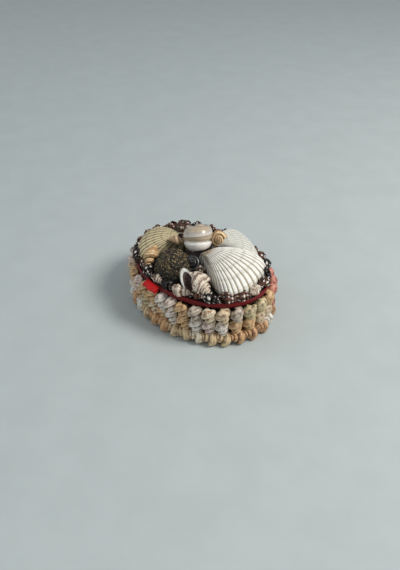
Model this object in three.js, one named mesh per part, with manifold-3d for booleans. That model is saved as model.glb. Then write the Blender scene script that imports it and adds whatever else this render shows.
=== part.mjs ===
// An oval trinket box covered with seashells, with a lid that lifts off.
// A card tub carries upright columns of small dog whelks. The lid is a card board bound in red
// ribbon, edged with dark whelks and topped with three cockle valves, a limpet and snail shells.
// Millimetres, +Z up. +X runs along the oval and -Y is the side with the ribbon pull tab.
// The origin is on the table, under the middle of the box.
import * as THREE from "three";
import { mergeVertices } from "three/addons/utils/BufferGeometryUtils.js";
import Module from "manifold-3d";

const wasm = await Module();
wasm.setup();

// Sizes of the card tub.
const tubLength = 88;
const tubWidth = 64;
const tubHeight = 25.4;
const tubWall = 1.8;
const tubFloor = 1.8;

// Sizes of the lid board, its locating plug and its ribbon.
const lidOverhang = 2.2;
const lidThickness = 2.8;
const plugDepth = 1.6;
const plugClearance = 0.6;
const ribbonThickness = 0.9;
const ribbonStandsProud = 0.4;
const tabWidth = 11;
const tabReach = 4;
const tabThickness = 1.3;
const tabDroop = 1.6;

// Sizes of the small shells glued round the wall of the tub.
const wallShellPitch = 8.3;
const wallShellLength = 13.6;
const wallShellWidth = 10.2;
const footShellLength = 12.4;
const footShellWidth = 10.2;
const wallShellStandOff = 2.9;
const footShellStandOff = 3.8;

// Sizes of the small dark shells round the edge of the lid.
const rimShellPitch = 9;
const rimShellLength = 12;
const rimShellWidth = 6.8;
const rimShellInset = 2.7;
const rimArcs = 5;

// Sizes of the valves and shells on top of the lid.
const frontValveLength = 40;
const frontValveWidth = 42.5;
const frontValveHeight = 13;
const leftValveLength = 32;
const leftValveWidth = 32.5;
const leftValveHeight = 11.5;
const backValveLength = 28;
const backValveWidth = 38;
const backValveHeight = 11.5;
const valveThickness = 1.2;
const valveRibs = 14;
const ribDepth = 0.55;
const limpetLength = 28;
const limpetWidth = 22;
const limpetHeight = 12;
const moonLength = 17;
const moonWidth = 18;

// Gap left between pieces that touch, and how finely round outlines are cut.
const gap = 0.3;
const ovalSides = 18;

const lidLength = tubLength + 2 * lidOverhang;
const lidWidth = tubWidth + 2 * lidOverhang;
const lidUnderside = tubHeight + gap / 2;
const lidTop = lidUnderside + lidThickness;

// A repeatable number from 0 to 1 for the small differences between like shells.
function chance(index, salt) {
  const value = Math.sin(index * 12.9898 + salt * 78.233) * 43758.5453;
  return value - Math.floor(value);
}

function spread(index, salt, range) {
  return (chance(index, salt) - 0.5) * 2 * range;
}

// Turns a closed geometry into a solid that can be cut and joined, and back.
function solidOf(geometry) {
  const bare = geometry.clone();
  bare.deleteAttribute("normal");
  bare.deleteAttribute("uv");
  const closed = mergeVertices(bare);
  return new wasm.Manifold(
    new wasm.Mesh({
      numProp: 3,
      vertProperties: new Float32Array(closed.attributes.position.array),
      triVerts: new Uint32Array(closed.index.array),
    }),
  );
}

function geometryOf(solid) {
  const mesh = solid.getMesh();
  const geometry = new THREE.BufferGeometry();
  const corners = mesh.numProp;
  const positions = new Float32Array(mesh.numVert * 3);
  for (let v = 0; v < mesh.numVert; v += 1) {
    for (let k = 0; k < 3; k += 1) positions[v * 3 + k] = mesh.vertProperties[v * corners + k];
  }
  geometry.setAttribute("position", new THREE.BufferAttribute(positions, 3));
  geometry.setIndex([...mesh.triVerts]);
  geometry.computeVertexNormals();
  return geometry;
}

function joined(solids) {
  return solids.reduce((whole, piece) => whole.add(piece));
}

// A closed skin over rings of points: the first and last entries may be single end points.
function skin(rings) {
  const positions = [];
  const starts = rings.map((ring) => {
    const start = positions.length / 3;
    ring.forEach((p) => positions.push(p.x, p.y, p.z));
    return start;
  });
  const faces = [];
  for (let r = 0; r + 1 < rings.length; r += 1) {
    const below = rings[r].length;
    const above = rings[r + 1].length;
    const sides = Math.max(below, above);
    for (let s = 0; s < sides; s += 1) {
      const a = starts[r] + (s % below);
      const b = starts[r] + ((s + 1) % below);
      const c = starts[r + 1] + ((s + 1) % above);
      const d = starts[r + 1] + (s % above);
      if (below > 1) faces.push(a, b, c);
      if (above > 1) faces.push(a, c, d);
    }
  }
  const geometry = new THREE.BufferGeometry();
  geometry.setAttribute("position", new THREE.Float32BufferAttribute(positions, 3));
  geometry.setIndex(faces);
  geometry.computeVertexNormals();
  return geometry;
}

// Oval outlines and the places round them.
function ovalShape(length, width) {
  const shape = new THREE.Shape();
  shape.absellipse(0, 0, length / 2, width / 2, 0, Math.PI * 2);
  return shape;
}

function ovalPrism(length, width, bottom, top) {
  const options = { depth: top - bottom, bevelEnabled: false, curveSegments: ovalSides };
  const geometry = new THREE.ExtrudeGeometry(ovalShape(length, width), options);
  return geometry.translate(0, 0, bottom);
}

// Points spaced evenly along an oval, each with the direction of travel there.
function placesRound(length, width, count, startAngle = -Math.PI / 2) {
  const steps = 3600;
  const at = (turn) =>
    new THREE.Vector2((length / 2) * Math.cos(turn), (width / 2) * Math.sin(turn));
  const runs = [0];
  for (let s = 0; s < steps; s += 1) {
    const from = at(startAngle + (s / steps) * Math.PI * 2);
    const to = at(startAngle + ((s + 1) / steps) * Math.PI * 2);
    runs.push(runs[s] + from.distanceTo(to));
  }
  const places = [];
  let step = 0;
  for (let i = 0; i < count; i += 1) {
    const target = (i / count) * runs[steps];
    while (runs[step + 1] < target) step += 1;
    const turn = startAngle + (step / steps) * Math.PI * 2;
    const point = at(turn);
    const heading = Math.atan2((width / 2) * Math.cos(turn), -(length / 2) * Math.sin(turn));
    places.push({ point, heading });
  }
  return places;
}

function perimeter(length, width) {
  return Math.PI * Math.hypot(length, width) * Math.SQRT1_2;
}

// A snail shell along X, its point at +X: a skin whose girth swells to the body whorl, with a
// groove that winds up the spire between the whorls.
function snailShell({ length, width, peak, base, taper, whorls, groove, sides, stations }) {
  const girth = (t) =>
    t < peak
      ? base + (1 - base) * Math.sin((Math.PI / 2) * (t / peak))
      : ((1 - t) / (1 - peak)) ** taper;
  const loops = [[new THREE.Vector3(-length / 2, 0, 0)]];
  for (const t of stations) {
    const loop = [];
    for (let s = 0; s < sides; s += 1) {
      const turn = (s / sides) * Math.PI * 2;
      const wound = whorls * (1 - (1 - t) ** 1.6) - turn / (Math.PI * 2);
      const dip = t > peak ? groove * (0.5 + 0.5 * Math.cos(wound * Math.PI * 2)) : 0;
      const radius = (width / 2) * girth(t) * (1 - dip);
      loop.push(
        new THREE.Vector3(
          length * (t - 0.5),
          radius * Math.cos(turn),
          radius * Math.sin(turn),
        ),
      );
    }
    loops.push(loop);
  }
  loops.push([new THREE.Vector3(length / 2, 0, 0)]);
  return skin(loops);
}

function evenStations(count) {
  return Array.from({ length: count }, (_, r) => 0.03 + 0.9 * (r / (count - 1)));
}

const whelkForm = { peak: 0.34, base: 0.3, taper: 0.95, whorls: 4, groove: 0 };
const moonForm = { peak: 0.45, base: 0.42, taper: 0.55, whorls: 2.4, groove: 0.07 };
const periwinkleForm = { peak: 0.4, base: 0.4, taper: 0.7, whorls: 3, groove: 0.06 };
const spireForm = { peak: 0.3, base: 0.32, taper: 0.85, whorls: 4.5, groove: 0.12 };

// The turn that lays a shell made along X towards a direction, rolled about its own axis.
function lay(direction, roll = 0) {
  const own = new THREE.Quaternion().setFromAxisAngle(new THREE.Vector3(1, 0, 0), roll);
  const aim = new THREE.Quaternion().setFromUnitVectors(
    new THREE.Vector3(1, 0, 0),
    new THREE.Vector3(...direction).normalize(),
  );
  return aim.multiply(own);
}

function placed(geometry, position, turn) {
  const matrix = new THREE.Matrix4().compose(
    new THREE.Vector3(...position),
    turn,
    new THREE.Vector3(1, 1, 1),
  );
  return geometry.clone().applyMatrix4(matrix);
}

// A cockle valve with its beak at the origin, fanning out along +X, hollow underneath.
function cockleValve({ length, width, height }, hollow = true) {
  const beakSetBack = length * 0.07;
  const crest = 0.34;
  const sectors = valveRibs * 2;
  const margin = (turn) =>
    new THREE.Vector2(
      length * Math.abs(Math.sin(turn / 2)) ** 0.9 - beakSetBack,
      (width / 2) * Math.sin(turn) * (0.92 - 0.12 * Math.cos(turn)),
    );
  const rise = (s) =>
    s > crest
      ? Math.sqrt(Math.max(0, 1 - ((s - crest) / (1 - crest)) ** 2))
      : 1 - 0.42 * ((crest - s) / crest) ** 2;
  const loop = (s, lift, ribbed) => {
    const points = [];
    for (let k = 0; k < sectors; k += 1) {
      const turn = -(k / sectors) * Math.PI * 2;
      const edge = margin(turn);
      const facing = Math.sin(turn / 2) ** 2;
      const rib = ribbed ? (k % 2 ? 1 : -1) * 0.5 * ribDepth * facing * Math.min(1, s * 2) : 0;
      const reach = s + (ribbed && s === 1 ? rib / length : 0);
      points.push(new THREE.Vector3(edge.x * reach, edge.y * reach, lift + (s < 1 ? rib : 0)));
    }
    return points;
  };
  const outer = [1, 0.8, 0.5, 0.2].map((s) => loop(s, height * rise(s), true));
  const within = (s) => (height - valveThickness) * rise(s) - valveThickness * 0.35;
  const inner = [0.2, 0.6].map((s) => loop(s, within(s), false));
  const topPoint = [new THREE.Vector3(0, 0, height * rise(0))];
  const underPoint = [new THREE.Vector3(0, 0, within(0))];
  const flatUnderside = [[new THREE.Vector3(length / 3, 0, 0)]];
  return skin([...(hollow ? [underPoint, ...inner] : flatUnderside), ...outer, topPoint]);
}

// A limpet: a low cone with its peak off the middle and a hollow, oval mouth below.
function limpetShell(hollow = true) {
  const sides = 16;
  const peakShift = 0.12;
  const loop = (share, lift, bulge = 0) => {
    const points = [];
    for (let k = 0; k < sides; k += 1) {
      const turn = (k / sides) * Math.PI * 2;
      const knob = 1 + bulge * (k % 2 ? 1 : -1);
      points.push(
        new THREE.Vector3(
          limpetLength * (0.5 * share * knob * Math.cos(turn) + peakShift * (1 - share)),
          limpetWidth * 0.5 * share * knob * Math.sin(turn),
          lift,
        ),
      );
    }
    return points;
  };
  const shellWall = 1.5;
  const inside = [
    [new THREE.Vector3(limpetLength * peakShift, 0, limpetHeight - 2 * shellWall)],
    loop(0.5, limpetHeight * 0.62 - shellWall),
    loop(0.88, 0),
  ];
  const flatUnderside = [[new THREE.Vector3(0, 0, 0)]];
  return skin([
    ...(hollow ? inside : flatUnderside),
    loop(1, 0.1, 0.02),
    loop(0.75, limpetHeight * 0.52, 0.02),
    loop(0.28, limpetHeight * 0.94, 0.02),
    [new THREE.Vector3(limpetLength * peakShift, 0, limpetHeight)],
  ]);
}

// Colours and finishes of the pieces.
const finish = (color, roughness) =>
  new THREE.MeshStandardMaterial({ color, roughness, metalness: 0 });
const cardFinish = finish(0x1d1613, 0.9);
const ribbonFinish = finish(0x8c1219, 0.45);
const tanFinish = finish(0xc2a077, 0.5);
const darkFinish = finish(0x4a3a33, 0.45);
const whiteFinish = finish(0xe9e6da, 0.55);
const creamFinish = finish(0xd8cfa9, 0.55);
const greyFinish = finish(0xcfcabd, 0.55);
const limpetFinish = finish(0x4b4234, 0.85);
const moonFinish = finish(0xd9cfc2, 0.3);
const stripedFinish = finish(0x8a6552, 0.5);
const blackFinish = finish(0x191a1b, 0.35);

const group = new THREE.Group();

function addPiece(name, geometry, material, parent = group) {
  const mesh = new THREE.Mesh(geometry, material);
  mesh.name = name;
  parent.add(mesh);
  return mesh;
}

function tub() {
  const outside = solidOf(ovalPrism(tubLength, tubWidth, 0, tubHeight));
  const inside = solidOf(
    ovalPrism(tubLength - 2 * tubWall, tubWidth - 2 * tubWall, tubFloor, tubHeight + 1),
  );
  return geometryOf(outside.subtract(inside));
}

function lidBoard() {
  const board = solidOf(ovalPrism(lidLength, lidWidth, lidUnderside, lidTop));
  const slack = 2 * (tubWall + plugClearance);
  const plugBottom = lidUnderside - plugDepth;
  const plug = solidOf(
    ovalPrism(tubLength - slack, tubWidth - slack, plugBottom, lidUnderside + lidThickness / 2),
  );
  return geometryOf(board.add(plug));
}

const ribbonLength = lidLength + 2 * (gap + ribbonThickness);
const ribbonWidth = lidWidth + 2 * (gap + ribbonThickness);

function lidRibbon() {
  const bottom = lidUnderside + gap;
  const top = lidTop + ribbonStandsProud;
  const outside = solidOf(ovalPrism(ribbonLength, ribbonWidth, bottom, top));
  const inside = solidOf(ovalPrism(lidLength + 2 * gap, lidWidth + 2 * gap, bottom - 1, top + 1));
  return geometryOf(outside.subtract(inside));
}

// The folded ribbon tab: a flat fold whose round end droops a little over the shells.
function pullTab() {
  const nose = tabThickness / 2;
  const root = ribbonWidth / 2 + gap;
  const side = new THREE.Shape();
  side.moveTo(0, -nose);
  side.lineTo(tabReach - nose, -nose - tabDroop);
  side.absarc(tabReach - nose, -tabDroop, nose, -Math.PI / 2, Math.PI / 2, false);
  side.lineTo(0, nose);
  side.closePath();
  const geometry = new THREE.ExtrudeGeometry(side, {
    depth: tabWidth,
    bevelEnabled: false,
    curveSegments: 6,
  });
  geometry.translate(0, 0, -tabWidth / 2);
  const sideways = new THREE.Matrix4().makeBasis(
    new THREE.Vector3(0, -1, 0),
    new THREE.Vector3(0, 0, 1),
    new THREE.Vector3(-1, 0, 0),
  );
  geometry.applyMatrix4(sideways);
  return geometry.translate(0, -root, lidUnderside + tabDroop + nose + gap);
}

// One upright column of shells on the wall. Its own frame has X along the wall, +Y into the tub.
function wallColumn(index, place, edges) {
  const small = { ...whelkForm, sides: 5, stations: [0.3] };
  const vary = (salt, range) => spread(index, salt, range);
  const rows = [
    { level: 0.173, length: footShellLength, width: footShellWidth, off: footShellStandOff },
    { level: 0.449, length: wallShellLength, width: wallShellWidth, off: wallShellStandOff },
    { level: 0.756, length: wallShellLength, width: wallShellWidth, off: wallShellStandOff },
  ];
  const shells = rows.map((row, r) => {
    const size = 1 + vary(r + 1, 0.06);
    const geometry = snailShell({ ...small, length: row.length * size, width: row.width * size });
    const tilt = 0.36 + vary(r + 11, 0.16);
    const sideways = [-Math.cos(tilt), -0.32, 0.25 + vary(21, 0.3)];
    const downwards = [Math.sin(tilt), -0.1, -Math.cos(tilt)];
    const direction = r === 0 ? sideways : downwards;
    const position = [vary(r + 31, 0.045) * wallShellPitch, -row.off - gap, row.level * tubHeight];
    return solidOf(placed(geometry, position, lay(direction, vary(r + 41, Math.PI))));
  });
  const prism = new THREE.ExtrudeGeometry(new THREE.Shape(edges), {
    depth: lidUnderside - gap,
    bevelEnabled: false,
  });
  return geometryOf(mainBody(joined(shells).intersect(solidOf(prism))));
}

// The plan of one column's room: between its neighbours, outside the tangent of the wall.
function columnRoom(place, before, after) {
  const room = 14;
  const toLocal = (point) =>
    point.clone().sub(place.point).rotateAround(new THREE.Vector2(), -place.heading);
  const edge = (between, side) => {
    const start = toLocal(between.point);
    const turn = between.heading - place.heading;
    const out = new THREE.Vector2(Math.sin(turn), -Math.cos(turn));
    const along = (-gap - start.y) / out.y;
    const near = start.clone().addScaledVector(out, along);
    const far = start.clone().addScaledVector(out, room);
    const shift = (side * gap) / 2;
    near.x += shift;
    far.x += shift;
    return [near, far];
  };
  const [leftNear, leftFar] = edge(before, 1);
  const [rightNear, rightFar] = edge(after, -1);
  return [leftFar, rightFar, rightNear, leftNear];
}

const wallShellMiddle = 2 * wallShellStandOff + 0.7 * wallShellWidth;
const columnsRound = perimeter(tubLength + wallShellMiddle, tubWidth + wallShellMiddle);
const columnCount = Math.round(columnsRound / wallShellPitch);
const halfPlaces = placesRound(tubLength, tubWidth, columnCount * 2);
const wallGroup = new THREE.Group();
group.add(wallGroup);
for (let i = 0; i < columnCount; i += 1) {
  const place = halfPlaces[2 * i];
  const before = halfPlaces[(2 * i - 1 + 2 * columnCount) % (2 * columnCount)];
  const after = halfPlaces[2 * i + 1];
  const room = columnRoom(place, before, after);
  const name = `wall_shells_${String(i + 1).padStart(2, "0")}`;
  const column = addPiece(name, wallColumn(i, place, room), tanFinish, wallGroup);
  column.position.set(place.point.x, place.point.y, 0);
  column.rotation.z = place.heading;
}

addPiece("tub", tub(), cardFinish);
addPiece("lid_board", lidBoard(), cardFinish);
addPiece("lid_ribbon", lidRibbon(), ribbonFinish);
addPiece("pull_tab", pullTab(), ribbonFinish);

// What stands on the lid is built in this order, and each piece gives way to the ones before it.
const standing = [];

// A piece swollen by the gap all round, which is the room that its neighbours leave it.
function roomAround(solid) {
  const geometry = geometryOf(solid);
  const { position, normal } = geometry.attributes;
  for (let v = 0; v < position.count; v += 1) {
    position.setXYZ(
      v,
      position.getX(v) + normal.getX(v) * gap * 1.4,
      position.getY(v) + normal.getY(v) * gap * 1.4,
      position.getZ(v) + normal.getZ(v) * gap * 1.4,
    );
  }
  return solidOf(geometry);
}

// The largest body that is left, without crumbs cut off by a neighbour.
function mainBody(solid) {
  const bodies = solid.decompose();
  return bodies.reduce((best, body) => (body.volume() > best.volume() ? body : best));
}

const lidSurface = solidOf(ovalPrism(lidLength * 2, lidWidth * 2, -tubHeight, lidTop + gap));

function addStanding(name, solid, material, filled = null) {
  const rest = standing.reduce((left, room) => left.subtract(room), solid.subtract(lidSurface));
  const geometry = geometryOf(mainBody(rest));
  standing.push(roomAround(filled ?? solid).add(solid));
  return addPiece(name, geometry, material);
}

// A place over the lid: shares of its length and width from the middle, and a height above it.
function overLid([along, across, height]) {
  return [along * lidLength, across * lidWidth, lidTop + height];
}

function headed(geometry, place, heading, pitch = 0, roll = 0) {
  const turn = new THREE.Quaternion().setFromEuler(new THREE.Euler(roll, pitch, heading, "ZYX"));
  return solidOf(placed(geometry, overLid(place), turn));
}

function pointed(form, place, direction, roll = 0) {
  return solidOf(placed(snailShell(form), overLid(place), lay(direction, roll)));
}

// The dark shells round the edge of the lid, laid nose to tail and joined in arcs.
const rimLength = lidLength - 2 * rimShellInset;
const rimWidth = lidWidth - 2 * rimShellInset;
const rimCount = Math.round(perimeter(rimLength, rimWidth) / rimShellPitch);
const rimPlaces = placesRound(rimLength, rimWidth, rimCount);
const perArc = Math.ceil(rimCount / rimArcs);
for (let arc = 0; arc < rimArcs; arc += 1) {
  const shells = [];
  for (let i = arc * perArc; i < Math.min(rimCount, (arc + 1) * perArc); i += 1) {
    const { point, heading } = rimPlaces[i];
    const size = 1 + spread(i, 51, 0.07);
    const geometry = snailShell({
      ...whelkForm,
      length: rimShellLength * size,
      width: rimShellWidth * size,
      sides: 5,
      stations: [0.24, 0.62],
    });
    const turn = heading + spread(i, 52, 0.2);
    const direction = [Math.cos(turn), Math.sin(turn), spread(i, 53, 0.12)];
    const at = [point.x, point.y, lidTop + rimShellWidth * 0.42];
    shells.push(solidOf(placed(geometry, at, lay(direction, spread(i, 54, Math.PI)))));
  }
  addStanding(`rim_shells_${arc + 1}`, joined(shells), darkFinish);
}

const degrees = Math.PI / 180;
const frontValve = {
  length: frontValveLength,
  width: frontValveWidth,
  height: frontValveHeight,
};
const leftValve = { length: leftValveLength, width: leftValveWidth, height: leftValveHeight };
const backValve = { length: backValveLength, width: backValveWidth, height: backValveHeight };
const valves = [
  ["cockle_valve_white", frontValve, [0.052, -0.034, 1.8], 15 * degrees, whiteFinish],
  ["cockle_valve_cream", leftValve, [-0.138, -0.012, 1.7], 219 * degrees, creamFinish],
  ["cockle_valve_grey", backValve, [0.038, 0.1, 2.4], 70 * degrees, greyFinish],
];
for (const [name, size, at, heading, material] of valves) {
  const [shell, filled] = [true, false].map((hollow) =>
    headed(cockleValve(size, hollow), at, heading, 1.5 * degrees),
  );
  addStanding(name, shell, material, filled);
}
const [limpet, filledLimpet] = [true, false].map((hollow) =>
  headed(limpetShell(hollow), [0.008, -0.312, 5.2], -42 * degrees, 22 * degrees),
);
addStanding("limpet", limpet, limpetFinish, filledLimpet);

const moon = { ...moonForm, length: moonLength, width: moonWidth, sides: 12, stations: evenStations(6) };
addStanding("moon_snail", pointed(moon, [-0.014, -0.016, 15.7], [-0.35, 0.3, 1]), moonFinish);

const whelk = { ...spireForm, length: 21, width: 13, sides: 9, stations: evenStations(6) };
const mouth = new THREE.SphereGeometry(3.6, 8, 6).scale(1.25, 0.62, 1).translate(-4.8, -5.2, 1);
const whelkBody = solidOf(snailShell(whelk)).subtract(solidOf(mouth));
addStanding(
  "striped_whelk",
  headed(geometryOf(whelkBody), [0.254, -0.314, 5], 13 * degrees),
  stripedFinish,
);

const littleShells = [
  ["black_nerite", periwinkleForm, 10, 10, [0.06, -0.16, 6], [0.5, -0.5, 0.8], blackFinish],
  ["tan_periwinkle", periwinkleForm, 9.5, 10, [0.037, 0.172, 12.5], [0.6, -0.5, 0.5], tanFinish],
  ["tan_spire_shell", spireForm, 14.5, 8.6, [-0.162, -0.377, 7], [0.52, -0.66, -0.54], tanFinish],
  ["patterned_whelk", spireForm, 13, 7.5, [-0.14, -0.1, 12.5], [-0.75, -0.65, -0.1], stripedFinish],
  ["dark_turban", periwinkleForm, 12.5, 8.5, [-0.188, 0.04, 14.5], [-0.75, -0.6, -0.1], darkFinish],
  ["mottled_whelk", spireForm, 11, 6.4, [0.157, -0.2, 5], [0.6, -0.6, 0.1], darkFinish],
];
for (const [name, form, length, width, at, direction, material] of littleShells) {
  const size = { ...form, length, width, sides: 7, stations: evenStations(5) };
  addStanding(name, pointed(size, at, direction), material);
}

export default group;
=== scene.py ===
# An oval trinket box covered with seashells, with a red ribbon round its lift-off lid.
# Every shell is wound or fanned out in code, at the place of the solid that it stands for.
import math
import bpy
from mathutils import Matrix, Vector, noise


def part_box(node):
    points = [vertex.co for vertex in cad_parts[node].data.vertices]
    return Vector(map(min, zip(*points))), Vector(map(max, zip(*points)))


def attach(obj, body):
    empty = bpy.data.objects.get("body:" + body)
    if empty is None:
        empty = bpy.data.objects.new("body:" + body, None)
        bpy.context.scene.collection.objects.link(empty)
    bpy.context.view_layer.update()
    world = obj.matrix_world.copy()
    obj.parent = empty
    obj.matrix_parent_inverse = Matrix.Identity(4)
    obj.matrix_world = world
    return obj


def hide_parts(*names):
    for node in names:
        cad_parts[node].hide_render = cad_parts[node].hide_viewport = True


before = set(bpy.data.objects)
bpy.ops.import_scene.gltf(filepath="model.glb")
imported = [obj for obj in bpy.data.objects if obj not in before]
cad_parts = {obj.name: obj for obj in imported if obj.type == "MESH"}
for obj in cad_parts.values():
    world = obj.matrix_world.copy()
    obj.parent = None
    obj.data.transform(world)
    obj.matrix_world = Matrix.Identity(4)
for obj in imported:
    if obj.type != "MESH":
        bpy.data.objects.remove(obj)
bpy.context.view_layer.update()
MM = 0.001
TAU = math.tau
WHITE = (1, 1, 1, 1)

# Sizes shared with the solids, in millimetres.
TUB_LENGTH, TUB_WIDTH, TUB_HEIGHT = 88.0, 64.0, 25.4
LID_OVERHANG, LID_THICKNESS, GAP, CLEAR = 2.2, 2.8, 0.3, 0.2
LID_LENGTH, LID_WIDTH = TUB_LENGTH + 2 * LID_OVERHANG, TUB_WIDTH + 2 * LID_OVERHANG
LID_UNDERSIDE = TUB_HEIGHT + GAP / 2
LID_TOP = LID_UNDERSIDE + LID_THICKNESS
RIBBON_LENGTH, RIBBON_WIDTH, RIBBON_PROUD = LID_LENGTH + 2.4, LID_WIDTH + 2.4, 0.4
WALL_PITCH, WALL_STAND_OFF, WALL_SHELL_WIDTH = 8.3, 2.9, 10.2
RIM_PITCH, RIM_INSET, RIM_ARCS = 9, 1.7, 5
RIM_SHELL_LENGTH, RIM_SHELL_WIDTH = 11.6, 7.6
RIM_LIFT, RIM_LIFT_BEHIND, RIM_SIZE_BEHIND = 2.2, 1.4, 0.78


def linear(r, g, b):
    """A colour given as a screen shows it, from 0 to 255, as linear light."""
    def one(c):
        c /= 255
        return c / 12.92 if c <= 0.04045 else ((c + 0.055) / 1.055) ** 2.4
    return (one(r), one(g), one(b), 1.0)


def grey(value):
    return (value, value, value, 1.0)


def chance(index, salt):
    """A repeatable number from 0 to 1 for the small differences between like shells."""
    value = math.sin(index * 12.9898 + salt * 78.233) * 43758.5453
    return value - math.floor(value)


def spread(index, salt, size):
    return (chance(index, salt) - 0.5) * 2 * size


def places_round(length, width, count, start=-math.pi / 2):
    """Points evenly spaced along an oval, with the heading of the oval at each."""
    steps = 3600
    at = lambda turn: (length / 2 * math.cos(turn), width / 2 * math.sin(turn))
    runs = [0.0]
    for s in range(steps):
        a, b = at(start + s / steps * TAU), at(start + (s + 1) / steps * TAU)
        runs.append(runs[-1] + math.hypot(a[0] - b[0], a[1] - b[1]))
    found, step = [], 0
    for i in range(count):
        while runs[step + 1] < i / count * runs[steps]:
            step += 1
        turn = start + step / steps * TAU
        heading = math.atan2(width / 2 * math.cos(turn), -length / 2 * math.sin(turn))
        found.append((at(turn), heading))
    return found


def perimeter(length, width):
    return math.pi * math.hypot(length, width) * math.sqrt(0.5)


# Shapes.
class Build:
    """Vertices, faces and colours of one piece, gathered shell by shell."""

    def __init__(self):
        self.points, self.faces, self.uvs, self.tones, self.marks = [], [], [], [], []

    def add(self, points, faces, uvs, tone, mark, place=None, keep=None):
        """Takes one shell's points, moved by place and then held out of other pieces by keep."""
        start = len(self.points)
        for p in points:
            q = place @ p if place else p
            self.points.append(keep(q) if keep else q)
        self.faces.extend(tuple(start + k for k in f) for f in faces)
        self.uvs.extend(uvs)
        self.tones.extend(tone if isinstance(tone, list) else [tone] * len(points))
        self.marks.extend(mark if isinstance(mark, list) else [mark] * len(points))

    def piece(self, name, node, material, thickness=0.0):
        """Makes the Blender object and lets it replace the solid of the same shell."""
        mesh = bpy.data.meshes.new(name)
        mesh.from_pydata([p * MM for p in self.points], [], self.faces)
        uv = mesh.uv_layers.new(name="wound")
        for loop in mesh.loops:
            uv.data[loop.index].uv = self.uvs[loop.vertex_index]
        for label, values in (("tone", self.tones), ("mark", self.marks)):
            layer = mesh.color_attributes.new(label, "FLOAT_COLOR", "POINT")
            layer.data.foreach_set("color", [c for v in values for c in v])
        mesh.polygons.foreach_set("use_smooth", [True] * len(mesh.polygons))
        mesh.materials.append(material)
        mesh.update()
        piece = bpy.data.objects.new(name, mesh)
        bpy.context.scene.collection.objects.link(piece)
        if thickness:
            shell = piece.modifiers.new("wall", "SOLIDIFY")
            shell.thickness, shell.offset = thickness * MM, -1
        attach(piece, "root")
        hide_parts(node)
        return piece


def wound_shell(length, width, growth, spire, tall, whorls, rib=0.0, ribs=12, cords=0, base=0.6,
                around=18, per_turn=22, lip=0.0, mouth=0.72):
    """A right-handed snail shell wound round X, its point at +X, its mouth open at the wide end."""
    steps = int(per_turn * whorls)
    past_axis, lip_turn = 1.02, 0.5
    points, uvs, faces = [], [], []

    def ring(theta, scale, flare=1.0):
        s = growth ** (theta / TAU)
        for k in range(around):
            phi = k / around * TAU
            knob = max(0.0, math.cos(ribs * theta)) ** 1.5 - 0.4
            ripple = 1 + rib * knob * (0.5 + 0.5 * math.cos(phi - 0.4)) * (1 + math.cos(7 * phi))
            ripple += cords * math.cos(7 * phi)
            r = s * (1 + past_axis * math.cos(phi) * scale * ripple * flare)
            x = s * (-spire + tall * (math.sin(phi) - base * (1 - math.cos(phi))) * scale * flare)
            points.append(Vector((x, -r * math.cos(theta), r * math.sin(theta))))
            uvs.append((theta / TAU + whorls, k / around))

    for i in range(steps + 1):
        theta = -TAU * whorls * (1 - i / steps)
        flare = 1 + lip * max(0.0, 1 + theta / lip_turn) ** 2 if theta > -lip_turn else 1.0
        ring(theta, 1.0, flare)
    for theta, scale in ((0.02, 0.92), (-0.02, 0.84), (-0.05, 0.8), (-0.3, mouth), (-0.6, mouth * 0.9),
                         (-0.9, mouth * 0.7)):
        ring(theta, scale, 1 + lip * 0.7)
    count = len(points) // around
    for i in range(count - 1):
        for k in range(around):
            a, b = i * around + k, i * around + (k + 1) % around
            faces.append((a, b, b + around, a + around))
    faces.append(tuple(reversed(range(around))))
    faces.append(tuple(range((count - 1) * around, count * around)))
    low = [min(p[k] for p in points) for k in range(3)]
    high = [max(p[k] for p in points) for k in range(3)]
    size = (length, width, width)
    for p in points:
        for k in range(3):
            p[k] = (p[k] - (low[k] + high[k]) / 2) * size[k] / (high[k] - low[k])
    return points, faces, uvs


def mouth_colors(count, around, color, lip, inside):
    """The shell's colour on each ring of a wound shell, with its lip and the dark inside."""
    rings, lip_rings, inside_rings = count // around, 4, 4
    shades = [color] * (rings - lip_rings - inside_rings) + [lip] * lip_rings + [inside] * inside_rings
    return [shade for shade in shades for _ in range(around)]


# Forms of the snails: how fast they widen, how high they stand and how finely they are cut.
SMALL = dict(growth=1.55, spire=4.0, tall=1.3, whorls=4.4, rib=0.02, ribs=11, base=0.45, around=18, per_turn=24)
UPRIGHT = dict(SMALL, growth=1.4, spire=6.0, tall=1.15, whorls=4.6, rib=0.03, base=0.5)
RIM = dict(SMALL, rib=0.2, ribs=7, cords=0.03, base=0.5, around=24, per_turn=36)
MOON = dict(growth=2.5, spire=1.35, tall=1.35, whorls=3.2, base=0.175, around=40, per_turn=40)
ROUND = dict(growth=1.9, spire=2.2, tall=1.4, whorls=3.8, base=0.3, around=24, per_turn=30)
SPIRE = dict(growth=1.6, spire=4.2, tall=1.4, whorls=5.0, rib=0.03, ribs=14, base=0.5, around=26, per_turn=40)
STRIPED = dict(growth=1.7, spire=3.2, tall=1.45, whorls=4.2, base=0.6, lip=0.14, mouth=0.7,
               around=36, per_turn=48)


def lay(direction, roll=0.0):
    """Turns X to point along direction, rolled about it."""
    aim = Vector((1, 0, 0)).rotation_difference(Vector(direction).normalized()).to_matrix()
    return (aim @ Matrix.Rotation(roll, 3, "X")).to_4x4()


def lay_facing(direction, facing):
    """Points X along direction and turns the shell's mouth, which opens along Z, to facing."""
    x = Vector(direction).normalized()
    z = Vector(facing)
    z = (z - x * z.dot(x)).normalized()
    return Matrix((x, z.cross(x), z)).transposed().to_4x4()


def over_lid(at):
    """A place on the lid: shares of its length and width from the middle, and a height over it."""
    return Vector((at[0] * LID_LENGTH, at[1] * LID_WIDTH, LID_TOP + at[2]))


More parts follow.
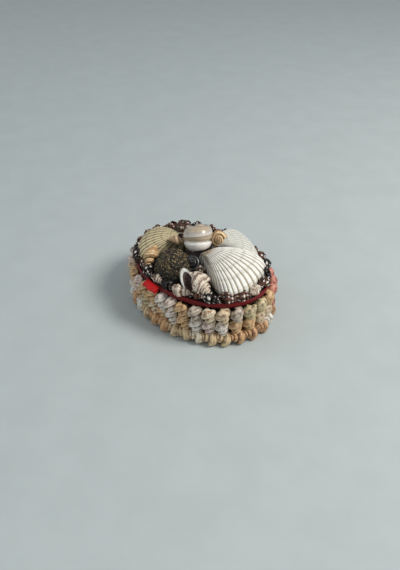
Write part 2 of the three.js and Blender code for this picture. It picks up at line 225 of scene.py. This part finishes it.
def headed(at, heading, pitch):
    """Places a shell over the lid with X along heading, dipped by pitch."""
    turn = Matrix.Rotation(heading, 4, "Z") @ Matrix.Rotation(pitch, 4, "Y")
    return Matrix.Translation(over_lid(at)) @ turn


def pointed(at, direction, facing):
    """Places a snail over the lid with its point along direction and its mouth to facing."""
    return Matrix.Translation(over_lid(at)) @ lay_facing(direction, facing)


def above_lid(p):
    """Keeps a shell from dipping into the lid board."""
    return Vector((p.x, p.y, max(p.z, LID_TOP + CLEAR)))


# Materials.
class Nodes:
    """Short helpers for wiring one procedural material."""

    def __init__(self, name):
        self.material = bpy.data.materials.new(name)
        self.material.use_nodes = True
        self.tree = self.material.node_tree
        self.shader = self.tree.nodes["Principled BSDF"]
        self.place = self.node("ShaderNodeTexCoord").outputs["Object"]

    def node(self, kind, **settings):
        made = self.tree.nodes.new(kind)
        for key, value in settings.items():
            setattr(made, key, value)
        return made

    def link(self, source, target):
        self.tree.links.new(source, target)

    def attribute(self, name, output="Color"):
        return self.node("ShaderNodeAttribute", attribute_name=name).outputs[output]

    def wound(self):
        """The two parts of the shell's texture map: along its growth, and round it."""
        parts = self.node("ShaderNodeSeparateXYZ")
        self.link(self.node("ShaderNodeUVMap", uv_map="wound").outputs["UV"], parts.inputs[0])
        return parts.outputs[0], parts.outputs[1]

    def put(self, socket, value):
        if isinstance(value, bpy.types.NodeSocket):
            self.link(value, socket)
        else:
            socket.default_value = value

    def math(self, kind, a, b=0.0):
        made = self.node("ShaderNodeMath", operation=kind)
        self.put(made.inputs[0], a)
        self.put(made.inputs[1], b)
        return made.outputs[0]

    def noise(self, scale, detail=4.0, rough=0.6, where=None):
        made = self.node("ShaderNodeTexNoise")
        made.inputs["Scale"].default_value = scale
        made.inputs["Detail"].default_value = detail
        made.inputs["Roughness"].default_value = rough
        self.link(where or self.place, made.inputs["Vector"])
        return made.outputs["Fac"]

    def ramp(self, value, low, high):
        made = self.node("ShaderNodeMapRange", interpolation_type="SMOOTHSTEP")
        self.put(made.inputs["Value"], value)
        made.inputs["From Min"].default_value = low
        made.inputs["From Max"].default_value = high
        return made.outputs["Result"]

    def mix(self, factor, a, b, kind="MIX"):
        made = self.node("ShaderNodeMix", data_type="RGBA", blend_type=kind)
        self.put(made.inputs["Factor"], factor)
        self.put(made.inputs[6], a)
        self.put(made.inputs[7], b)
        return made.outputs[2]

    def bump(self, height, strength, distance=0.0004):
        made = self.node("ShaderNodeBump")
        made.inputs["Strength"].default_value = strength
        made.inputs["Distance"].default_value = distance
        self.link(height, made.inputs["Height"])
        self.link(made.outputs["Normal"], self.shader.inputs["Normal"])

    def finish(self, color, rough, spread=0.1):
        self.link(color, self.shader.inputs["Base Color"])
        worn = self.node("ShaderNodeMapRange")
        self.link(self.noise(700, 3), worn.inputs["Value"])
        worn.inputs["To Min"].default_value = max(0.05, rough - spread)
        worn.inputs["To Max"].default_value = min(1.0, rough + spread)
        self.link(worn.outputs["Result"], self.shader.inputs["Roughness"])
        return self.material


def shell_material(name, bands=4.0, blotch=0.5, streak=0.3, rough=0.4, coat=0.0, lines=26.0,
                   cords=7.0, bump=0.5, cover=0.5, scale=420, dirt_and_crease_shade=0.4, nodules=0.0, painted_glints=0.14, gloss=0.5,
                   sharp=0.65):
    """Snail shell: two colours mixed in spiral bands, streaks and blotches over fine growth lines."""
    n = Nodes(name)
    tone, mark = n.attribute("tone"), n.attribute("mark")
    u, v = n.wound()
    wobble = n.math("MULTIPLY", n.noise(scale, 3), 0.35)
    band = n.math("SINE", n.math("MULTIPLY", n.math("ADD", v, wobble), TAU * bands))
    streaks = n.math("SINE", n.math("ADD", n.math("MULTIPLY", u, TAU * 7),
                                    n.math("MULTIPLY", n.noise(scale * 0.6), 9.0)))
    blots = n.noise(scale * 0.8, 5, 0.65)
    mixed = n.math("MULTIPLY", band, sharp)
    mixed = n.math("ADD", mixed, n.math("MULTIPLY", streaks, streak))
    mixed = n.math("ADD", mixed, n.math("MULTIPLY", n.math("SUBTRACT", blots, 0.5), blotch * 6))
    factor = n.ramp(mixed, 0.35 - cover, 1.05 - cover * 0.4)
    color = n.mix(n.math("MULTIPLY", factor, 0.85), tone, mark)
    fine = n.noise(scale * 5, 4, 0.7)
    # Painted highlight: fine near-white flecks standing for glints on the shell.
    color = n.mix(n.math("MULTIPLY", n.ramp(fine, 0.4, 0.75), painted_glints), color, (1, 0.96, 0.88, 1))
    dirt = n.ramp(n.noise(scale * 1.6, 6, 0.7), 0.5, 0.8)
    color = n.mix(n.math("MULTIPLY", dirt, dirt_and_crease_shade), color, linear(72, 52, 38))
    # Painted shade: a dark line in the crease where one whorl meets the next, scaled with the same amount as
    # the dirt.
    whorl_join_shade = n.ramp(n.math("ABSOLUTE", n.math("SUBTRACT", v, 0.22)), 0.075, 0.02)
    color = n.mix(n.math("MULTIPLY", whorl_join_shade, dirt_and_crease_shade * 1.6), color, linear(52, 36, 26))
    if nodules:
        knob = n.math("ADD", n.math("SINE", n.math("MULTIPLY", u, TAU * 7)),
                      n.math("SINE", n.math("MULTIPLY", v, TAU * 5)))
        knob = n.math("ADD", knob, n.math("MULTIPLY", n.math("SUBTRACT", n.noise(scale * 0.7, 4), 0.5), 9))
        color = n.mix(n.math("MULTIPLY", n.ramp(knob, 1.25, 1.7), nodules), color, linear(236, 228, 218))
    growth = n.math("SINE", n.math("MULTIPLY", u, TAU * lines))
    height = n.math("ADD", n.math("MULTIPLY", growth, 0.25), n.math("MULTIPLY", fine, 0.6))
    cord = n.math("SINE", n.math("MULTIPLY", v, TAU * cords))
    n.bump(n.math("ADD", height, n.math("MULTIPLY", cord, 0.3)), bump)
    n.shader.inputs["Specular IOR Level"].default_value = gloss
    n.shader.inputs["Coat Weight"].default_value = coat
    n.shader.inputs["Coat Roughness"].default_value = 0.12
    return n.finish(color, rough)


def valve_material(name, rib_color, groove_shade_and_ring_color, beak_color, rough=0.55):
    """Cockle valve: pale ribs with painted shade in the grooves between them, a stained beak and fine growth
    rings.
    """
    n = Nodes(name)
    u, v = n.wound()
    depth = n.attribute("tone", "Fac")
    grain = n.noise(900, 5, 0.7)
    # Painted shade: the grooves between the ribs are mixed towards the darker colour, which also colours the
    # growth rings.
    color = n.mix(n.ramp(n.math("ADD", depth, n.math("MULTIPLY", grain, 0.5)), 0.55, 1.05),
                  groove_shade_and_ring_color, rib_color)
    rings = n.math("SINE", n.math("ADD", n.math("MULTIPLY", u, TAU * 6),
                                  n.math("MULTIPLY", n.noise(160, 3), 5)))
    color = n.mix(n.math("MULTIPLY", n.ramp(rings, 0.4, 1.0), 0.28), color, groove_shade_and_ring_color)
    beak = n.math("SUBTRACT", 1.0, n.ramp(n.math("ADD", u, n.math("MULTIPLY", grain, 0.1)), 0.08, 0.34))
    color = n.mix(n.math("MULTIPLY", beak, 0.75), color, beak_color)
    stain = n.ramp(n.noise(260, 5, 0.65), 0.52, 0.72)
    color = n.mix(n.math("MULTIPLY", stain, 0.18), color, linear(176, 158, 124))
    fine = n.math("SINE", n.math("MULTIPLY", u, TAU * 38))
    n.bump(n.math("ADD", n.math("MULTIPLY", fine, 0.25), n.math("MULTIPLY", grain, 0.9)), 0.55)
    return n.finish(color, rough)


def limpet_material(name):
    """Limpet: black crust with golden-brown and grey speckles, and painted shade darkening its front edge."""
    n = Nodes(name)
    tone = n.attribute("tone", "Fac")
    coarse, fine = n.noise(260, 7, 0.75), n.noise(900, 6, 0.75)
    color = n.mix(n.ramp(coarse, 0.48, 0.57), linear(24, 18, 13), linear(104, 80, 46))
    color = n.mix(n.ramp(n.noise(120, 4), 0.52, 0.62), color, linear(78, 82, 70))
    color = n.mix(n.ramp(fine, 0.52, 0.6), color, linear(196, 172, 122))
    color = n.mix(n.ramp(n.noise(520, 4, 0.7), 0.49, 0.55), color, linear(9, 7, 5))
    # Painted shade: the front of the edge, which dips towards the floor, is mixed towards near-black.
    color = n.mix(n.math("MULTIPLY", n.ramp(tone, 0.35, 0.8), 0.85), color, linear(14, 12, 11))
    n.bump(n.math("ADD", n.math("MULTIPLY", fine, 0.9), n.math("MULTIPLY", coarse, 1.2)), 1.0, 0.0009)
    return n.finish(color, 0.7)


def moon_material(name):
    """Moon snail: polished, with soft purple-grey bands above and a shiny white base."""
    n = Nodes(name)
    u, v = n.wound()
    v = n.math("ADD", v, n.math("MULTIPLY", n.noise(90, 3), 0.05))
    upper = n.ramp(v, 0.02, 0.14)
    band = n.ramp(n.math("SINE", n.math("MULTIPLY", v, TAU * 5)), -0.2, 0.9)
    color = n.mix(band, linear(188, 170, 144), linear(116, 100, 108))
    color = n.mix(n.math("MULTIPLY", n.ramp(n.noise(240, 5), 0.45, 0.7), 0.4), color, linear(160, 132, 100))
    color = n.mix(upper, linear(216, 208, 196), color)
    color = n.mix(n.attribute("tone", "Fac"), color, linear(242, 238, 230))
    growth = n.math("SINE", n.math("MULTIPLY", u, TAU * 40))
    n.bump(n.math("ADD", n.math("MULTIPLY", growth, 0.3), n.noise(500, 4)), 0.12)
    n.shader.inputs["Coat Weight"].default_value = 0.6
    n.shader.inputs["Coat Roughness"].default_value = 0.08
    return n.finish(color, 0.28, 0.06)


def ribbon_material(name, dark, light):
    """Woven ribbon: two reds in fine level rows, partly its weave and partly a painted highlight on the lighter
    rows.
    """
    n = Nodes(name)
    weave = n.math("SINE", n.math("MULTIPLY", n.noise(60, 1), 40))
    stretch = n.node("ShaderNodeMapping")
    stretch.inputs["Scale"].default_value = (1, 1, 9)
    n.link(n.place, stretch.inputs["Vector"])
    rows = n.noise(900, 3, 0.6, stretch.outputs["Vector"])
    color = n.mix(n.ramp(rows, 0.35, 0.7), dark, light)
    color = n.mix(n.math("MULTIPLY", n.ramp(n.noise(120, 4), 0.45, 0.75), 0.5), color, dark)
    n.bump(n.math("ADD", rows, n.math("MULTIPLY", weave, 0.1)), 0.5, 0.0003)
    n.shader.inputs["Specular IOR Level"].default_value = 0.3
    return n.finish(color, 0.42)


def card_material(name):
    """Dark card of the box, with a few pale fibres; its near-black is partly painted shade for the gaps between
    the shells.
    """
    n = Nodes(name)
    fibre = n.noise(1500, 5, 0.7)
    color = n.mix(n.ramp(n.noise(150, 4), 0.35, 0.7), linear(22, 17, 15), linear(52, 40, 33))
    color = n.mix(n.ramp(fibre, 0.6, 0.75), color, linear(74, 60, 50))
    n.bump(fibre, 0.7, 0.0004)
    return n.finish(color, 0.85)


card = card_material("dark_card")
# The band is painted in the ribbon's red as seen in shade, with lighter rows of painted highlight; the tab in
# brighter reds, painted as lit.
ribbon = ribbon_material("red_ribbon", linear(78, 0, 5), linear(144, 5, 15))
tab_ribbon = ribbon_material("red_ribbon_painted_lit", linear(160, 4, 8), linear(224, 14, 16))
wall_finish = shell_material("wall_shell", bands=4, blotch=0.35, streak=0.35, rough=0.36, coat=0.2, cover=0.5,
                             scale=260, dirt_and_crease_shade=0.3)
rim_finish = shell_material("rim_shell", bands=3, blotch=0.8, streak=0.2, rough=0.45, gloss=0.25,
                            cover=0.6, scale=420, nodules=0.95, dirt_and_crease_shade=0.1, painted_glints=0.0)
# The tub and lid board take the near-black card, partly as painted shade in the gaps between the shells.
for node in ("tub", "lid_board"):
    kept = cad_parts[node]
    kept.data.materials.clear()
    kept.data.materials.append(card)

# Shells on the wall: each pair is a shell's colour and the colour of its bands.
PALETTE = [
    (linear(238, 222, 192), linear(142, 98, 58)),
    (linear(222, 182, 128), linear(128, 80, 44)),
    (linear(242, 226, 212), linear(160, 118, 92)),
    (linear(214, 196, 150), linear(104, 82, 54)),
    (linear(230, 204, 166), linear(106, 74, 56)),
    (linear(246, 238, 226), linear(136, 114, 98)),
    (linear(206, 188, 168), linear(78, 62, 54)),
    (linear(228, 188, 132), linear(140, 86, 46)),
    (linear(236, 214, 202), linear(126, 92, 80)),
]
FOOT = [
    (linear(234, 220, 194), linear(170, 134, 92)),
    (linear(218, 170, 116), linear(146, 92, 52)),
    (linear(222, 194, 148), linear(134, 98, 62)),
    (linear(210, 162, 112), linear(120, 76, 46)),
    (linear(240, 236, 226), linear(188, 172, 146)),
]
RED = (linear(206, 130, 106), linear(132, 52, 40))
RED_COLUMNS = range(11, 14)

# The rows from the foot up: height as a share of the tub's, shell length and width, and stand-off.
ROWS = [(0.173, 12.4, 10.2, 3.4), (0.449, 14.4, 9.2, 2.7), (0.77, 14.4, 9.2, 3.5)]


def column_room(p):
    """Keeps a wall shell off the wall, above the floor and below the lid."""
    return Vector((p.x, min(p.y, -CLEAR), min(max(p.z, 0.02), LID_UNDERSIDE - GAP)))


def wall_column(i, point, heading):
    """One column: a shell that lies along the foot and two above it that stand on their points."""
    build = Build()
    stand = Matrix.Translation((*point, 0)) @ Matrix.Rotation(heading, 4, "Z")
    for r, (level, length, width, off) in enumerate(ROWS):
        size = 1 + spread(i, r + 1, 0.06)
        tilt = 0.34 + spread(i, r + 11, 0.14)
        if r == 0:
            form, palette, face_up = SMALL, FOOT, -0.6
            direction = (-math.cos(tilt), -0.32, 0.25 + spread(i, 21, 0.3))
        else:
            form, palette, face_up = UPRIGHT, PALETTE, 0.3
            direction = (math.sin(tilt), -0.14, -math.cos(tilt))
        points, faces, uvs = wound_shell(length * size, width * size, **form)
        at = Vector((spread(i, r + 31, 0.37), -off - GAP, level * TUB_HEIGHT))
        place = Matrix.Translation(at) @ lay_facing(direction, (spread(i, r + 41, 0.5), 1, face_up))
        tone, mark = palette[int(chance(i, r + 61) * len(palette))]
        if r and i in RED_COLUMNS and chance(i, r + 71) > 0.3:
            tone, mark = RED
        build.add([stand @ column_room(place @ p) for p in points], faces, uvs, tone, mark)
    name = f"wall_shells_{i + 1:02d}"
    build.piece(name + "_wound", name, wall_finish)


shell_middle = 2 * WALL_STAND_OFF + 0.7 * WALL_SHELL_WIDTH
column_count = round(perimeter(TUB_LENGTH + shell_middle, TUB_WIDTH + shell_middle) / WALL_PITCH)
half_pitches = places_round(TUB_LENGTH, TUB_WIDTH, column_count * 2)
for i in range(column_count):
    wall_column(i, *half_pitches[2 * i])


# The ribbon and its tab.
def ribbon_band():
    """The ribbon round the edge of the lid, with soft folds in it."""
    build = Build()
    turns, levels = 240, 9
    bottom, top = LID_UNDERSIDE + GAP, LID_TOP + RIBBON_PROUD
    points, faces, uvs = [], [], []
    for i in range(turns):
        t = i / turns * TAU
        for k in range(levels):
            share = k / (levels - 1)
            fold = 0.22 * math.sin(9 * t + 3 * share) * math.sin(share * math.pi)
            fold += 0.12 * math.sin(23 * t + 1.3) * share
            swell = 0.25 * math.sin(share * math.pi) + fold - 0.25
            x = (RIBBON_LENGTH / 2 + swell) * math.cos(t)
            y = (RIBBON_WIDTH / 2 + swell) * math.sin(t)
            z = bottom + (top - bottom) * share + 0.1 * math.sin(17 * t) * share
            points.append(Vector((x, y, z)))
            uvs.append((t / TAU, share))
    for i in range(turns):
        for k in range(levels - 1):
            a, b = i * levels + k, (i + 1) % turns * levels + k
            faces.append((a, b, b + 1, a + 1))
    build.add(points, faces, uvs, WHITE, WHITE)
    build.piece("lid_ribbon_band", "lid_ribbon", ribbon, thickness=0.7)


def pull_tab():
    """A short loop of the ribbon, painted in brighter reds as where it is lit, its fold drooping over the wall
    shells.
    """
    build = Build()
    low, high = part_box("pull_tab")
    low, high = low / MM, high / MM
    points, faces, uvs = [], [], []
    across, along = 14, 20
    for i in range(along):
        bend = i / (along - 1) * math.pi
        reach = math.sin(bend) ** 0.55
        for k in range(across):
            side = k / (across - 1)
            x = low.x + (high.x - low.x) * side
            y = high.y - (high.y - low.y - 0.2) * reach * (1 - 0.1 * math.sin(side * 9))
            middle = high.z - 0.6 - (high.z - low.z - 1.3) * reach
            z = middle + 0.55 * math.cos(bend) + 0.12 * math.sin(side * 7 + i * 0.3)
            points.append(Vector((x, y, z)))
            uvs.append((side, i / along))
    for i in range(along - 1):
        for k in range(across - 1):
            a = i * across + k
            faces.append((a, a + 1, a + across + 1, a + across))
    build.add(points, faces, uvs, WHITE, WHITE)
    build.piece("pull_tab_loop", "pull_tab", tab_ribbon, thickness=0.3)


ribbon_band()
pull_tab()


# The cockle valves and the limpet.
def fan_faces(rings, sectors):
    """The faces of a shell whose rings of points run from its peak out to its edge."""
    faces = []
    for j in range(rings):
        for k in range(sectors):
            a, b = j * sectors + k, j * sectors + (k + 1) % sectors
            faces.append((a, a + sectors, b + sectors, b))
    faces.append(tuple(reversed(range(sectors))))
    return faces


def cockle(length, width, height, ribs, depth, beak=0.45):
    """A domed valve, its beak at the middle of its rings and its ribs fanned towards +X."""
    set_back, crest = length * 0.07, 0.34
    rings, sectors = 44, ribs * 12
    points, uvs, depths = [], [], []

    def rise(s):
        if s > crest:
            return math.sqrt(max(0.0, 1 - ((s - crest) / (1 - crest)) ** 2))
        return 1 - (1 - beak) * ((crest - s) / crest) ** 2

    for j in range(rings + 1):
        s = 0.015 + 0.985 * (j / rings) ** 0.85
        for k in range(sectors):
            turn = -(k / sectors) * TAU
            half = abs(math.sin(turn / 2))
            ex = length * half ** 0.9 - set_back
            ey = width / 2 * math.sin(turn) * (0.92 - 0.12 * math.cos(turn))
            wave = abs(math.cos(turn * ribs / 2)) ** 0.7
            lift = depth * (wave - 0.5) * half ** 1.4 * min(1, s * 2.2)
            lift += 0.07 * math.sin(s * 60) * half
            flat = 1 + (lift / length * 0.8 if s > 0.8 else 0)
            low = rise(0) * (1 - s * s)
            z = height * (low + (rise(s) - low) * (0.25 + 0.75 * half ** 0.8))
            z += lift * (0.25 + 0.75 * rise(s))
            points.append(Vector((ex * s * flat, ey * s * flat, max(z, 0.0))))
            uvs.append((s, k / sectors))
            depths.append(grey(wave))
    return points, fan_faces(rings, sectors), uvs, depths


def lay_valve(name, node, size, ribs, depth, at, heading, material):
    """Makes one cockle valve, its ribs fanned out along heading and its front a little lower."""
    points, faces, uvs, depths = cockle(*size, ribs, depth)
    build = Build()
    build.add(points, faces, uvs, depths, WHITE, headed(at, heading, math.radians(1.5)), above_lid)
    build.piece(name, node, material, thickness=0.9)


def limpet():
    """A rough cone with an uneven edge, leaning on the valves, with painted shade at the front of its edge."""
    rings, sectors, peak_shift = 40, 120, 0.12
    length, width, height = 28.0, 22.0, 12.0
    points, uvs, front_edge_shade = [], [], []
    for j in range(rings + 1):
        share = 0.01 + 0.99 * j / rings
        for k in range(sectors):
            turn = k / sectors * TAU
            x = length * (0.5 * share * math.cos(turn) + peak_shift * (1 - share))
            y = width * 0.5 * share * math.sin(turn)
            z = height * (1 - share ** 1.55)
            rough = noise.fractal(Vector((x, y, z)) * 0.42, 0.8, 2.1, 5) * 0.75
            rough += 0.3 * math.cos(turn * 26) * share
            out = Vector((math.cos(turn) * 0.7, math.sin(turn) * 0.7, 0.7))
            points.append(Vector((x, y, z)) + out * rough * min(1, share * 4))
            uvs.append((share, k / sectors))
            # Painted shade mask, strongest at the front of the edge.
            front_edge_shade.append(grey(share * (0.5 + 0.5 * math.cos(turn))))
    build = Build()
    place = headed((0.008, -0.312, 5.2), math.radians(-42), math.radians(22))
    build.add(points, fan_faces(rings, sectors), uvs, front_edge_shade, WHITE, place, above_lid)
    crust = limpet_material("limpet_crust")
    build.piece("limpet_rough", "limpet", crust, thickness=1.2)


white_valve = valve_material("white_valve", linear(244, 243, 236), linear(166, 154, 128), linear(180, 138, 92))
cream_valve = valve_material("cream_valve", linear(214, 200, 160), linear(104, 84, 52), linear(176, 146, 94))
grey_valve = valve_material("grey_valve", linear(226, 225, 216), linear(178, 175, 164), linear(186, 180, 166))
lay_valve("cockle_white_ribbed", "cockle_valve_white", (40, 44.5, 13), 30, 1.1, (0.055, -0.046, 1.8),
          math.radians(15), white_valve)
lay_valve("cockle_cream_ribbed", "cockle_valve_cream", (32, 32.5, 11.5), 22, 0.8, (-0.138, -0.012, 1.7),
          math.radians(219), cream_valve)
lay_valve("cockle_grey_ribbed", "cockle_valve_grey", (28, 38, 11.5), 26, 0.5, (0.038, 0.1, 2.4),
          math.radians(70), grey_valve)
limpet()


# Snails on the lid.
def lay_snail(name, node, form, length, width, place, tone, mark, material, lip=None, inside=None):
    """Makes one snail on the lid. Its mouth is coloured where lip and inside are given."""
    points, faces, uvs = wound_shell(length, width, **form)
    around = form["around"]
    if lip:
        tone = mouth_colors(len(points), around, tone, lip, inside)
        mark = mouth_colors(len(points), around, mark, lip, inside)
    build = Build()
    build.add(points, faces, uvs, tone, mark, place, above_lid)
    build.piece(name, node, material)


def moon_snail(length, width):
    """The round snail on top, with a groove round it and a white base below the groove.

    Heights are shares of its length, from its wide end to its point.
    """
    groove, groove_width, groove_depth, taper = 0.42, 0.04, 0.16, 0.16
    base_top, base_depth, base_radius = 0.4, 0.402, 8.2
    white_top, white_fade = 0.45, 0.03
    points, faces, uvs = wound_shell(length, width, **MOON)
    whites = []
    for p in points:
        share = p.x / length + 0.5
        pinch = 1 - groove_depth * math.exp(-((share - groove) / groove_width) ** 2)
        pinch -= taper * max(0.0, share - 0.5)
        radius = math.hypot(p.y, p.z) + 0.001
        if share < base_top:
            base = base_radius * math.sqrt(1 - ((base_top - share) / base_depth) ** 2)
            pinch = max(pinch, base / radius)
        p.y, p.z = p.y * pinch, p.z * pinch
        whites.append(grey(min(1.0, max(0.0, (white_top - share) / white_fade))))
    build = Build()
    place = pointed((-0.014, -0.016, 15.7), (-0.35, 0.3, 1), AWAY)
    build.add(points, faces, uvs, whites, WHITE, place, above_lid)
    build.piece("moon_snail_polished", "moon_snail", moon_material("moon_shell"))


VIEWER = Vector((0.6, -0.52, 0.6))
AWAY = -VIEWER
striped = shell_material("striped_shell", bands=6, blotch=0.12, streak=0.1, rough=0.4, coat=0.25, cover=0.5,
                         scale=200, dirt_and_crease_shade=0.2, sharp=1.5)
glossy_black = shell_material("black_shell", bands=2, blotch=0.3, streak=0.1, rough=0.24, coat=0.35, bump=0.3,
                              scale=200, dirt_and_crease_shade=0.0, painted_glints=0.0)
tan = shell_material("tan_lid_shell", bands=5, blotch=0.2, streak=0.2, rough=0.4, coat=0.15, scale=240,
                     sharp=1.1)

moon_snail(17, 18)
lay_snail("whelk_striped", "striped_whelk", STRIPED, 22, 15,
          pointed((0.24, -0.335, 7.2), (0.86, 0.08, -0.38), (0.16, -0.76, 0.63)),
          linear(240, 224, 202), linear(104, 60, 44), striped,
          lip=linear(246, 242, 232), inside=linear(60, 30, 18))
lay_snail("nerite_black", "black_nerite", ROUND, 11, 11,
          pointed((0.066, -0.18, 5.6), (0.5, -0.5, 0.8), AWAY),
          linear(12, 12, 14), linear(30, 29, 31), glossy_black)
lay_snail("periwinkle_tan", "tan_periwinkle", ROUND, 9.5, 10,
          pointed((0.037, 0.172, 12.5), (0.6, -0.5, 0.5), AWAY),
          linear(232, 200, 148), linear(146, 88, 38), tan)
lay_snail("spire_tan", "tan_spire_shell", SPIRE, 16.5, 8.8,
          pointed((-0.162, -0.38, 6.6), (0.5, -0.66, -0.56), AWAY),
          linear(226, 192, 140), linear(160, 112, 64), tan)
lay_snail("whelk_patterned", "patterned_whelk", SPIRE, 13, 7.5,
          pointed((-0.126, -0.112, 13.3), (-0.75, -0.65, -0.1), (0.7, -0.5, 0.3)),
          linear(226, 194, 150), linear(84, 42, 24), striped,
          lip=linear(240, 232, 218), inside=linear(120, 80, 60))
lay_snail("turban_dark", "dark_turban", dict(ROUND, rib=0.14, ribs=9), 13, 9,
          pointed((-0.195, 0.042, 14.2), (-0.75, -0.6, -0.1), AWAY),
          linear(92, 66, 52), linear(12, 9, 8), rim_finish)
lay_snail("whelk_mottled", "mottled_whelk", SPIRE, 11, 6.4,
          pointed((0.157, -0.185, 6), (0.6, -0.6, 0.1), AWAY),
          linear(104, 88, 76), linear(20, 16, 15), rim_finish)

# Shells round the rim, laid nose to tail and joined in arcs.
PALE = (linear(220, 202, 182), linear(110, 78, 60))
BROWN = (linear(96, 60, 44), linear(14, 9, 8))
BLACK = (linear(34, 28, 26), linear(5, 4, 4))
PALE_RIM_SHELLS = (0, 2, 7)

rim_length, rim_width = LID_LENGTH - 2 * RIM_INSET, LID_WIDTH - 2 * RIM_INSET
rim_count = round(perimeter(rim_length, rim_width) / RIM_PITCH)
rim_places = places_round(rim_length, rim_width, rim_count)
per_arc = math.ceil(rim_count / RIM_ARCS)


def add_rim_shell(build, i):
    """Adds one shell, smaller and lower where it stands behind the valves."""
    (px, py), heading = rim_places[i]
    behind = -VIEWER.x * px / LID_LENGTH - VIEWER.y * py / LID_WIDTH > 0.1
    size = (1 + spread(i, 51, 0.1)) * (RIM_SIZE_BEHIND if behind else 1)
    points, faces, uvs = wound_shell(RIM_SHELL_LENGTH * size, RIM_SHELL_WIDTH * size, **RIM)
    turn = heading + spread(i, 52, 0.35)
    direction = (math.cos(turn), math.sin(turn), spread(i, 53, 0.12))
    at = Vector((px, py, LID_TOP + (RIM_LIFT_BEHIND if behind else RIM_LIFT)))
    place = Matrix.Translation(at) @ lay(direction, spread(i, 54, 3))
    if i in PALE_RIM_SHELLS:
        tone, mark = PALE
    else:
        tone, mark = BROWN if chance(i, 56) > 0.55 else BLACK
    build.add(points, faces, uvs, tone, mark, place, above_lid)


for arc in range(RIM_ARCS):
    build = Build()
    for i in range(arc * per_arc, min(rim_count, (arc + 1) * per_arc)):
        add_rim_shell(build, i)
    name = f"rim_shells_{arc + 1}"
    build.piece(name + "_wound", name, rim_finish)


# Floor, lights and camera.
def area_light(name, at, energy, size, color):
    """A square lamp aimed at the middle of the box."""
    data = bpy.data.lights.new(name, "AREA")
    data.energy, data.size, data.color = energy, size, color
    lamp = bpy.data.objects.new(name, data)
    lamp.location = at
    lamp.rotation_euler = (Vector((0, 0, 0.02)) - Vector(at)).to_track_quat("-Z", "Y").to_euler()
    bpy.context.scene.collection.objects.link(lamp)


reach = 3
mesh = bpy.data.meshes.new("floor")
corners = [(-reach, -reach, 0), (reach, -reach, 0), (reach, reach, 0), (-reach, reach, 0)]
mesh.from_pydata(corners, [], [(0, 1, 2, 3)])
floor = bpy.data.objects.new("floor", mesh)
bpy.context.scene.collection.objects.link(floor)
n = Nodes("pale_floor")
paper = n.mix(n.ramp(n.noise(40, 3), 0.3, 0.7), linear(181, 190, 190), linear(185, 194, 194))
mesh.materials.append(n.finish(paper, 0.9, 0.05))

area_light("key", (0.55, 0.35, 0.75), 7.0, 0.35, (1.0, 0.98, 0.94))
area_light("fill", (-0.6, -0.7, 0.6), 1.4, 0.9, (0.97, 0.98, 1.0))
world = bpy.data.worlds.new("studio")
world.use_nodes = True
sky = world.node_tree.nodes["Background"]
sky.inputs["Color"].default_value = (0.93, 0.97, 1.0, 1)
sky.inputs["Strength"].default_value = 0.43
bpy.context.scene.world = world
bpy.context.scene.view_settings.view_transform = "Standard"

# The camera's place and aim, found from the oval of the ribbon in the photograph.
CAMERA_AT = (0.225415, -0.196414, 0.233)
CAMERA_RIGHT = Vector((0.656059, 0.754710, 0.0))
CAMERA_UP = Vector((-0.454196, 0.394826, 0.798636))
CAMERA_BACK = Vector((0.602738, -0.523952, 0.601815))
camera_data = bpy.data.cameras.new("camera")
camera_data.lens = 37.89
camera_data.sensor_width = 36
camera_data.shift_y = 0.0053
camera_data.clip_start = 0.01
camera = bpy.data.objects.new("camera", camera_data)
aim = Matrix((CAMERA_RIGHT, CAMERA_UP, CAMERA_BACK)).transposed().to_4x4()
camera.matrix_world = Matrix.Translation(CAMERA_AT) @ aim
bpy.context.scene.collection.objects.link(camera)
bpy.context.scene.camera = camera
